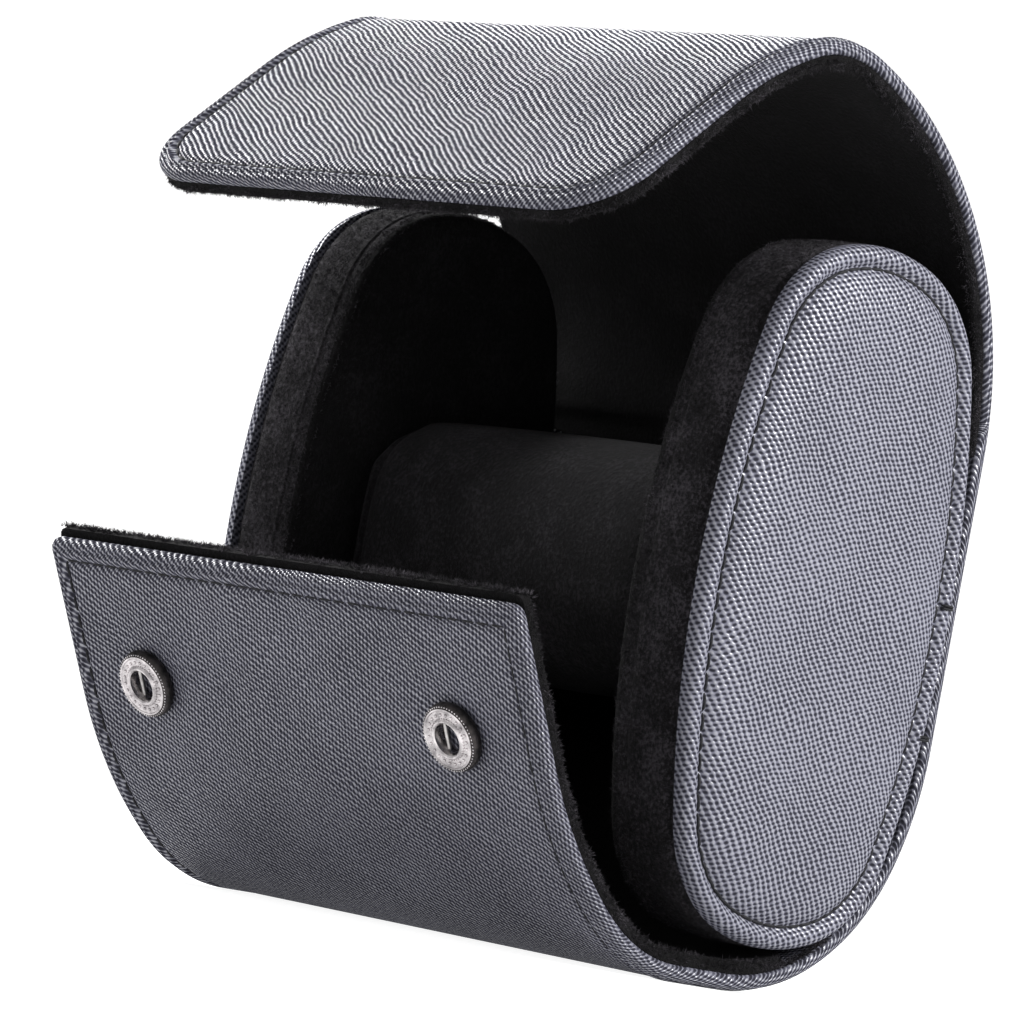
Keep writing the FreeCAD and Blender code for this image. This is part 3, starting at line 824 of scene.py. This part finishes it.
def grow_profile(disc, steps):
    """Inset and lift the last face of a disc through steps of (drop, height) in mm."""
    begin(disc)
    bpy.ops.mesh.select_mode(type="FACE")
    bpy.ops.mesh.select_all(action="SELECT")
    last_drop, last_high = steps[0]
    for drop, high in steps[1:]:
        if abs(drop - last_drop) < 1e-6:
            bpy.ops.mesh.extrude_region_shrink_fatten(
                TRANSFORM_OT_shrink_fatten={"value": (high - last_high) * MM})
        else:
            bpy.ops.mesh.inset(thickness=abs(drop - last_drop) * MM,
                               depth=(high - last_high) * MM, use_outset=drop < last_drop)
        last_drop, last_high = drop, high
    done()
    # An outset does nothing to a face with no neighbours, so each ring goes to its own drop.
    rows = places(disc)
    gone, drop = oval_place(rows[:, 1] / MM - PAD_Y, rows[:, 2] / MM - PAD_Z)
    drops, heights = np.transpose(steps)
    lost = np.append(0, np.cumsum(np.maximum(0, -np.diff(drops))))
    ring = np.hypot(drop[:, None] - drops - lost,
                    np.abs(rows[:, :1]) / MM - np.abs(heights)).argmin(1)
    ways = np.array([round_oval(part)[1] for part in gone])
    rows[:, 1:] += ways * (drop - drops[ring])[:, None] * MM
    put(disc, rows)


print("oval is", round(AROUND, 1), "mm round")

# %% [markdown]
# ## Leather faces of the end pads
# Each end is closed by a padded leather face. Its rim is a roll of leather over cord, then
# comes a valley where the stitches pull the leather into small puckers, and then the padding
# swells. A disc is stepped inwards along that profile and the valley is puckered after.

# %% Pad faces
RIM_BACK, RIM_SIDE, RIM_CREST = 50.3, 51.5, 53.7
STITCH_DROP, STITCH_X = 3.7, 52.85
DOME = ((4.0, 53.05), (4.35, 53.35), (4.9, 53.7), (5.8, 54.12), (7.2, 54.55), (9.2, 54.95),
        (12.0, 55.2), (15.5, 55.35), (19.5, 55.4))
ROLL_STEPS, ROLL_SWEEP = 9, math.radians(143)
ROLL_NARROW, ROLL_FULL = 0.97, 0.9   # the roll is a little narrower and fuller than an arc
PUCKER, PUCKER_WIDE = 0.22, 0.9

profile = [(0.55, RIM_BACK), (0.1, RIM_BACK + 0.35), (0.0, RIM_SIDE - 0.3), (0.0, RIM_SIDE)]
for step in range(1, ROLL_STEPS + 1):
    angle = ROLL_SWEEP * step / ROLL_STEPS
    profile.append((STITCH_DROP / 2 * (1 - math.cos(angle)) * ROLL_NARROW,
                    RIM_SIDE + (RIM_CREST - RIM_SIDE) * math.sin(angle) ** ROLL_FULL))
profile += [(STITCH_DROP, STITCH_X)] + list(DOME)


def pucker(rows, side):
    """Sink the valley between stitches and let the folds fade out on both sides."""
    gone, drop = oval_place(rows[:, 1] / MM - PAD_Y, rows[:, 2] / MM - PAD_Z)
    wave = 0.5 + 0.5 * np.cos(math.tau * PAD_STITCHES * gone / AROUND)
    fade = np.exp(-((drop - STITCH_DROP) / PUCKER_WIDE) ** 2)
    outside = np.abs(rows[:, 0]) > RIM_SIDE * MM
    rows[:, 0] -= side * np.where(outside, PUCKER * fade * wave, 0) * MM
    return rows


def unrolled(rows, side):
    """Places of the face's leather spread flat, carried on round the profile of the rim."""
    gone, drop = oval_place(rows[:, 1] / MM - PAD_Y, rows[:, 2] / MM - PAD_Z)
    drops, heights = np.transpose(profile)
    run = np.append(0, np.cumsum(np.hypot(np.diff(drops), np.diff(heights))))
    step = np.hypot(drop[:, None] - drops, np.abs(rows[:, :1]) / MM - heights).argmin(1)
    spread = run[-1] - run[step] - (drops[-1] - drop)
    ways = np.array([round_oval(part)[1] for part in gone])
    flat = rows[:, 1:] - np.array((PAD_Y, PAD_Z)) * MM + ways * spread[:, None] * MM
    return flat * (side, 1)


for name, side in SIDES.items():
    face = oval_disc(f"{name}_pad_leather", side * RIM_BACK, profile[0][0], side)
    grow_profile(face, profile)
    flat = unrolled(places(face), side)
    put(face, pucker(places(face), side))
    keep_map(face, flat)
    smooth(face, 60)
    dress(face, pad_leather)
    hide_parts(f"{name}_pad_face", f"{name}_pad_padding", f"{name}_pad_core")
    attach(face, "case")
    print(face.name, len(face.data.polygons), "faces")

# %% [markdown]
# ## Suede bodies of the end pads
# Behind its leather face each pad is a block of foam in black suede. A groove parts it from the
# rim, a narrow seam runs round its side, and stitches run round the edge of its inner face.
# The same disc is stepped the other way, towards the middle of the case.

# %% Pad bodies
BAND_PROFILE = (
    (0.9, 50.4), (0.9, 49.7), (0.3, 49.5), (0.0, 49.1), (0.0, 47.0), (0.0, 44.0), (0.05, 41.7),
    (0.3, 41.35), (1.6, 41.1), (1.6, 41.0), (0.3, 40.75), (0.1, 40.2), (0.35, 39.0), (0.9, 38.1),
    (1.7, 37.5), (2.6, 37.3), (3.6, 37.25), (6.0, 37.22), (12.0, 37.2), (20.0, 37.2),
)
COVER_SHADE_FROM = 38.6          # the inner face, from its rounded edge on, gets a darker copy of the suede: painted shade
for name, side in SIDES.items():
    body = oval_disc(f"{name}_pad_suede", side * BAND_PROFILE[0][1], BAND_PROFILE[0][0], -side)
    grow_profile(body, [(drop, -x) for drop, x in BAND_PROFILE])
    smooth(body, 60)
    dress(body, suede)
    # painted shade on the inner faces of the pads
    dress_part(body, cover_painted_shade, lambda mid: abs(mid.x) < COVER_SHADE_FROM * MM)
    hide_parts(*(f"{name}_pad_{part}" for part in ("band", "foam", "cover")))
    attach(body, "case")
    print(body.name, len(body.data.polygons), "faces")

# %% [markdown]
# ## Stitches
# One waxed stitch is a short thread with both ends pulled down into the leather. It is
# modelled once, copied along the seams and joined. The seam of the wrap runs along its edge,
# and is laid round the case with the leather, one part for each piece of the cover.

# %% One stitch
STITCH_PITCH, STITCH_LONG, STITCH_R = 3.0, 2.75, 0.27
STITCH_CUTS = (-0.36, -0.18, 0.18, 0.36)
STITCH_BENDS = (            # from and to along a half, thickness left, sunk by this many radii
    (0.4, 0.6, 0.45, 0.85), (0.3, 0.4, 0.9, 0.25),
)
bpy.ops.mesh.primitive_cylinder_add(vertices=8, radius=STITCH_R * MM, depth=STITCH_LONG * MM,
                                    rotation=(0, math.pi / 2, 0))
stitch = newest("stitch")
bpy.ops.object.transform_apply(location=True, rotation=True, scale=True)
begin(stitch)
for share in STITCH_CUTS:
    bpy.ops.mesh.select_all(action="SELECT")
    bpy.ops.mesh.bisect(plane_co=(share * STITCH_LONG * MM, 0, 0), plane_no=(1, 0, 0))
for end in (-1, 1):
    for near, far, thin, sunk in STITCH_BENDS:
        pick(stitch, "VERT", lambda place, normal: near < end * place.x / STITCH_LONG / MM < far)
        bpy.ops.transform.resize(value=(1, thin, thin))
        bpy.ops.transform.translate(value=(0, 0, -sunk * STITCH_R * MM))
done()


def sew(name, seats, pattern=stitch):
    """Copy a stitch to seats of (place, way along the seam, way out) and join the copies."""
    copies = []
    for place, along, out in seats:
        twin = copy_of(pattern, name)
        along, out = Vector(along).normalized(), Vector(out).normalized()
        turned = Matrix((along, out.cross(along), out)).transposed()
        twin.data.transform(Matrix.Translation(Vector(place)) @ turned.to_4x4())
        copies.append(twin)
    seam = join(copies, name)
    smooth(seam, 50)
    dress(seam, thread)
    return seam


# %% Seam round the wrap
SEAM_INSET, SEAM_DEPTH = 3.35, 0.33


def seam_points(inset, pitch):
    """Even places and ways along half the outline of the flat sheet, in millimetres."""
    half, low, high = WRAP_HALF - inset, inset - FRONT_LENGTH, REAR_LENGTH - inset
    bend = LID_CORNER - inset
    side_run, arc_run, end_run = high - bend - low, bend * math.pi / 2, half - bend
    total = side_run + arc_run + end_run
    count = round(total / pitch)
    for number in range(count):
        gone = (number + 0.5) * total / count
        if gone < side_run:
            yield half, low + gone, 0.0, 1.0
        elif gone < side_run + arc_run:
            turn = (gone - side_run) / bend
            yield (half - bend + bend * math.cos(turn), high - bend + bend * math.sin(turn),
                   -math.sin(turn), math.cos(turn))
        else:
            yield half - bend - (gone - side_run - arc_run), high, -1.0, 0.0
    low_count = round(half / pitch)
    for number in range(low_count):
        yield (number + 0.5) * half / low_count, low, 1.0, 0.0


seam = [(side * x, along, side * way_x, way_y) for side in SIDES.values()
        for x, along, way_x, way_y in seam_points(SEAM_INSET, STITCH_PITCH)]
for name, (low, high, first, second, bend_start, bend_end, _) in PIECES.items():
    seats = [((x * MM, along * MM, SEAM_DEPTH * MM), (way_x, way_y, 0), (0, 0, -1))
             for x, along, way_x, way_y in seam if low <= along < high]
    part = sew(f"{name}_stitches", seats)
    lay_and_ride(part, bend_start, bend_end)
    print(part.name, len(seats), "stitches")

# %% Seams of the pads
COVER_DROP, COVER_X = 1.3, 37.8
for name, side in SIDES.items():
    for seam_name, drop, x, out_x, out_round in (
            ("pad", STITCH_DROP, STITCH_X, side, 0), ("cover", COVER_DROP, COVER_X, -side, 1)):
        seats = []
        for number in range(PAD_STITCHES):
            place, way = round_oval((number + 0.5) * AROUND / PAD_STITCHES, drop)
            seats.append(((side * x * MM, (PAD_Y + place[0]) * MM, (PAD_Z + place[1]) * MM),
                          (0, -way[1], way[0]), (out_x, out_round * way[0], out_round * way[1])))
        part = sew(f"{name}_{seam_name}_stitches", seats)
        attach(part, "case")
print("pads sewn with", PAD_STITCHES, "stitches each")

# %% [markdown]
# ## Bar tacks
# Where the back of each pad meets the wrap, two short bars of doubled thread cross the rim of
# the pad. Each bar is two stitches side by side, a little thinner across and fuller in height.

# %% Bar tacks
TACK_HEIGHTS = (43.5, 64.3)
TACK_X, TACK_Y, TACK_ROWS = 53.65, 38.7, (-0.22, 0.22)
TACK_WIDE, TACK_TALL = 0.9, 1.44
thick = copy_of(stitch, "thick_stitch")
thick.data.transform(Matrix.Diagonal((1, TACK_WIDE, TACK_TALL, 1)))
bars = sew("tack_threads", [
    ((side * TACK_X * MM, TACK_Y * MM, (height + row) * MM), (0, 1, 0), (side, 0, 0))
    for side in SIDES.values() for height in TACK_HEIGHTS for row in TACK_ROWS], thick)
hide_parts("bar_tacks")
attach(bars, "case")
for spare in (stitch, thick):
    bpy.data.objects.remove(spare)
print("tacks with", len(TACK_HEIGHTS) * len(TACK_ROWS), "stitches a side")

# %% [markdown]
# ## Press stud sockets
# Each socket is a turned nickel ring with a milled outer edge and a step down to its bore. A
# ring of small beads decorates its face, and two rings of finer beads are the milling of its
# edge and of its bore. Its profile is extruded as a circle of edges, turn by turn.

# %% Sockets
SOCKET_PROFILE = (          # radius and height of each turn of the ring, from its foot
    (3.6, 0.0), (5.2, 0.0), (5.5, 0.45), (5.5, 1.0), (5.3, 1.55), (4.85, 1.95), (4.6, 1.98),
    (4.5, 1.85), (3.35, 1.85), (3.25, 2.0), (3.0, 2.2), (2.75, 2.2), (2.55, 2.0), (2.5, 1.0),
    (2.5, 0.3),
)
BEAD_RINGS = (              # beads, radius of the ring, radius of a bead, height, fineness
    (22, 3.92, 0.27, 1.85, 2), (60, 5.1, 0.17, 1.74, 1), (40, 3.3, 0.12, 1.97, 1),
)
PAINTED_SHADE_FROM = 5.0        # outside this radius the flank and the ground of its milled edge are painted dark: painted shade and a painted dark reflection
seat, ahead = on_line(-SOCKET_ALONG), on_line(1.0 - FRONT_LENGTH)
up_flap = (ahead - seat).normalized()
out_flap = Vector((1, 0, 0)).cross(up_flap)
turned = Matrix((Vector((1, 0, 0)), up_flap, out_flap)).transposed()
RING_SIDES = 64


def ring_of(name, profile):
    """Turn a profile of (radius, height) about Z."""
    bpy.ops.mesh.primitive_circle_add(vertices=RING_SIDES, radius=profile[0][0] * MM)
    ring = newest(name)
    begin(ring)
    bpy.ops.mesh.select_all(action="SELECT")
    last_r, last_high = profile[0]
    for radius, high in profile[1:] + (profile[0],):
        bpy.ops.mesh.extrude_edges_move()
        bpy.ops.transform.resize(value=(radius / last_r, radius / last_r, 1),
                                 center_override=(0, 0, 0))
        bpy.ops.transform.translate(value=(0, 0, (high - last_high) * MM))
        last_r, last_high = radius, high
    bpy.ops.mesh.select_all(action="SELECT")
    bpy.ops.mesh.remove_doubles(threshold=0.001 * MM)
    bpy.ops.mesh.normals_make_consistent(inside=False)
    done()
    return ring


for name, side in SIDES.items():
    ring = ring_of(f"{name}_socket_ring", SOCKET_PROFILE)
    turned_faces = len(ring.data.polygons)
    beads = []
    for count, ring_radius, bead_radius, high, fineness in BEAD_RINGS:
        for number in range(count):
            angle = math.tau * number / count
            bpy.ops.mesh.primitive_ico_sphere_add(subdivisions=fineness, radius=bead_radius * MM)
            bead = newest(f"{name}_bead")
            bead.data.transform(Matrix.Translation(Vector((
                ring_radius * math.cos(angle), ring_radius * math.sin(angle), high)) * MM))
            beads.append(bead)
    ring = join([ring] + beads, f"{name}_socket_ring")
    dress(ring, nickel)
    # painted shade and dark reflection on the flank
    dress_part(ring, flank_painted_shade, lambda mid: math.hypot(mid.x, mid.y) > PAINTED_SHADE_FROM * MM)
    for face in ring.data.polygons[turned_faces:]:
        face.material_index = 0
    ring.data.transform(Matrix.Translation(seat + Vector((side * SNAP_X * MM, 0, 0)))
                        @ turned.to_4x4())
    smooth(ring, 35)
    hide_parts(f"{name}_socket")
    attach(ring, "flap")
    print(ring.name, "with", len(beads), "beads")

# %% [markdown]
# ## The cushion
# The watch is worn round a firm roll of suede that pushes in between the pads. It is a padded
# form, so it starts a little small, is remeshed evenly and is blown up by a short cloth
# simulation that is held close to the start. The seams at its two ends are sunk after that.

# %% Cushion
CUSHION_Y, CUSHION_DEEP, CUSHION_ROUND, CUSHION_HALF = 12.5, 42.0, 16.0, 36.8
CUSHION_END_ROUND = 2.4
SWELL, VOXEL, MOST_SWELL = 1.3, 4.0, 2.2
PRESSURE, FRAMES = 4.0, 20
SEAM_X, SEAM_SINK, SEAM_WIDE = 32.6, 0.7, 0.7
SEAM_CUTS = (-1.6, -0.9, -0.4, 0.0, 0.4, 0.9, 1.6)

shrunk, shrunk_half = CUSHION_DEEP - 2 * SWELL, CUSHION_HALF - SWELL / 2
bpy.ops.mesh.primitive_cube_add(
    size=1, location=(0, CUSHION_Y * MM, PAD_Z * MM),
    scale=(2 * shrunk_half * MM, shrunk * MM, shrunk * MM))
cushion = newest("cushion_suede")
bpy.ops.object.transform_apply(location=True, rotation=True, scale=True)
begin(cushion)
pick(cushion, "EDGE", lambda mid, way: abs(way.x) > 0.9)
bpy.ops.mesh.bevel(offset=(CUSHION_ROUND - SWELL) * MM, segments=10, affect="EDGES")
pick(cushion, "EDGE", lambda mid, way: abs(abs(mid.x) - shrunk_half * MM) < 0.1 * MM)
bpy.ops.mesh.bevel(offset=CUSHION_END_ROUND * MM, segments=3, affect="EDGES")
done()
finish_with(cushion, "REMESH", mode="VOXEL", voxel_size=VOXEL * MM)
start = places(cushion)
cloth = cushion.modifiers.new("Cloth", "CLOTH")
cloth.settings.use_pressure = True
cloth.settings.uniform_pressure_force = PRESSURE
cloth.settings.effector_weights.gravity = 0.0
for number in range(1, FRAMES + 1):
    bpy.context.scene.frame_set(number)
begin(cushion)
done()
bpy.ops.object.modifier_apply(modifier="Cloth")
bpy.context.scene.frame_set(1)
rows = places(cushion)
moved = rows - start
length = np.linalg.norm(moved, axis=1, keepdims=True)
print("cushion swells", round(float(length.max()) / MM, 1), "mm before the cap")
rows = start + moved * np.minimum(1, MOST_SWELL * MM / np.maximum(length, 1e-9))
rows[:, 0] = np.clip(rows[:, 0], -CUSHION_HALF * MM, CUSHION_HALF * MM)
put(cushion, rows)
finish_with(cushion, "SUBSURF", levels=1, render_levels=1)
begin(cushion)
for side in SIDES.values():
    for shift in SEAM_CUTS:
        bpy.ops.mesh.select_all(action="SELECT")
        bpy.ops.mesh.bisect(plane_co=((side * SEAM_X + shift) * MM, 0, 0), plane_no=(1, 0, 0))
done()
rows = places(cushion)
centre = np.array([0, CUSHION_Y * MM, PAD_Z * MM])
outward = (rows - centre) * np.array([0, 1, 1])
outward /= np.maximum(np.linalg.norm(outward, axis=1, keepdims=True), 1e-9)
off_seam = (np.abs(rows[:, 0]) / MM - SEAM_X) / SEAM_WIDE
rows -= outward * (SEAM_SINK * np.exp(-off_seam ** 2))[:, None] * MM
put(cushion, rows)
smooth(cushion, 60)
# painted shade: the cushion gets a darker copy of the suede
dress(cushion, cushion_painted_shade)
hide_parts("cushion_cover", "cushion_foam", "cushion_sleeve")
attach(cushion, "cushion")
print("cushion faces", len(cushion.data.polygons))

# %% [markdown]
# ## Nap along the suede edges
# Cut suede frays: loose fibres stand out along the edges of the lining and on the sides of the
# pads. One tuft of twenty thin fibres is modelled, and copies of it, each turned at random
# from a fixed seed, are set along those edges and round those sides.

# %% Tuft
FIBRES, FIBRE_LONG, FIBRE_R = 20, 1.2, 0.085
TUFT_HALF, FIBRE_LEAN, FIBRE_SUNK = 0.7, 0.9, 0.12
dice = np.random.default_rng(7)
fibres = []
for number in range(FIBRES):
    long = FIBRE_LONG * dice.uniform(0.5, 1.1) * MM
    bpy.ops.mesh.primitive_cone_add(vertices=3, radius1=FIBRE_R * MM, radius2=0, depth=long)
    fibre = newest("fibre")
    fibre.data.transform(
        Matrix.Translation(Vector(dice.uniform(-TUFT_HALF, TUFT_HALF, 3) * (MM, MM, 0)))
        @ Euler((*dice.uniform(-FIBRE_LEAN, FIBRE_LEAN, 2), 0)).to_matrix().to_4x4()
        @ Matrix.Translation((0, 0, long / 2 - FIBRE_SUNK * MM)))
    fibres.append(fibre)
tuft = join(fibres, "tuft")


def fray(name, seats, tall=1.0):
    """Copy the tuft to seats of (place, way out), turned at random, and join the copies."""
    copies = []
    for place, out in seats:
        twin = copy_of(tuft, name)
        turned = Vector(out).normalized().to_track_quat("Z", "Y").to_matrix().to_4x4()
        spun = Matrix.Rotation(dice.uniform(0, math.tau), 4, "Z")
        twin.data.transform(Matrix.Translation(Vector(place)) @ turned @ spun
                            @ Matrix.Diagonal((1, 1, tall, 1)))
        copies.append(twin)
    nap = join(copies, name)
    dress(nap, nap_fibre)
    return nap


nap_fibre = suede_finish("suede_nap", tuple(1.4 * c for c in SUEDE_TINT), 0.05)

# %% Nap of the lining
NAP_PITCH, NAP_INSET = 0.6, 0.75
PINCHED = 10.0             # behind the foot the pads press the suede down to its fringe
NAP_TURN, NAP_SCATTER = 1.4, 0.7   # tufts sit on the rounded edge and on the cut side under it
FRINGE = 0.3
edge = [(side * x, along, side * way_x, way_y) for side in SIDES.values()
        for x, along, way_x, way_y in seam_points(NAP_INSET, NAP_PITCH)]
for name, (low, high, first, second, bend_start, bend_end, _) in PIECES.items():
    seats = []
    for x, along, way_x, way_y in edge:
        if not low <= along < high or NARROW_FROM + PINCHED < along < NARROW_TO + 2:
            continue
        out = Vector((way_y, -way_x, 0)) * (1 if x > 0 else -1)
        if along < NAP_INSET + 0.1 - FRONT_LENGTH:
            out = Vector((0, -1, 0))
            along = LINING_SHORT - FRONT_LENGTH
        turn = dice.uniform(0, NAP_TURN)
        back = LINING_ROUND * (1 - math.cos(turn))
        depth = LINING_IN - LINING_ROUND * (1 - math.sin(turn)) - dice.uniform(0, NAP_SCATTER)
        if NARROW_FROM - 2 < along < NARROW_TO:
            depth, turn = LINING_OUT + dice.uniform(0, FRINGE), 0.0
        seat = Vector((x, along, depth)) - back * out
        seats.append((seat * MM, out + Vector((0, 0, math.tan(turn / 1.2)))))
    nap = fray(f"{name}_nap", seats)
    lay_and_ride(nap, bend_start, bend_end)
    print(nap.name, len(seats), "tufts")

# %% Nap of the pads
PAD_NAP_TALL = 0.45        # the crown closes down close over the pads
NAP_ROWS = ((38.5, 0.8), (39.5, 0.2), (42.8, 0.1), (44.1, 0.1), (45.5, 0.1), (46.9, 0.1),
            (48.3, 0.1))
ROW_PITCH, ROW_SCATTER = 1.4, 0.6  # tufts along a row stand wider, and off it to both sides
for name, side in SIDES.items():
    seats = []
    for x, drop in NAP_ROWS:
        count = int(AROUND / NAP_PITCH / ROW_PITCH)
        for number in range(count):
            place, way = round_oval((number + dice.uniform(0, 1)) * AROUND / count, drop)
            x_here = x + dice.uniform(-ROW_SCATTER, ROW_SCATTER)
            seats.append(((side * x_here * MM, (PAD_Y + place[0]) * MM,
                           (PAD_Z + place[1]) * MM), (0, way[0], way[1])))
    nap = fray(f"{name}_pad_nap", seats, PAD_NAP_TALL)
    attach(nap, "case")
    print(nap.name, len(seats), "tufts")
bpy.data.objects.remove(tuft)

# %% [markdown]
# ## Pieces kept from the CAD model
# The rivets, springs and studs are metal, and their CAD shapes are right as they are, so they
# only get their finishes.

# %% Finishes of the CAD pieces
KEPT = {"socket_rivet": nickel, "socket_spring": wire, "stud": nickel}
for side in SIDES:
    for part_name, finish in KEPT.items():
        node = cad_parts[f"{side}_{part_name}"]
        node.data.materials.clear()
        node.data.materials.append(finish)
print("finishes on", len(SIDES) * len(KEPT), "CAD pieces")

low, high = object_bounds()
print("model box", [round(v / MM, 1) for v in (*low, *high)])
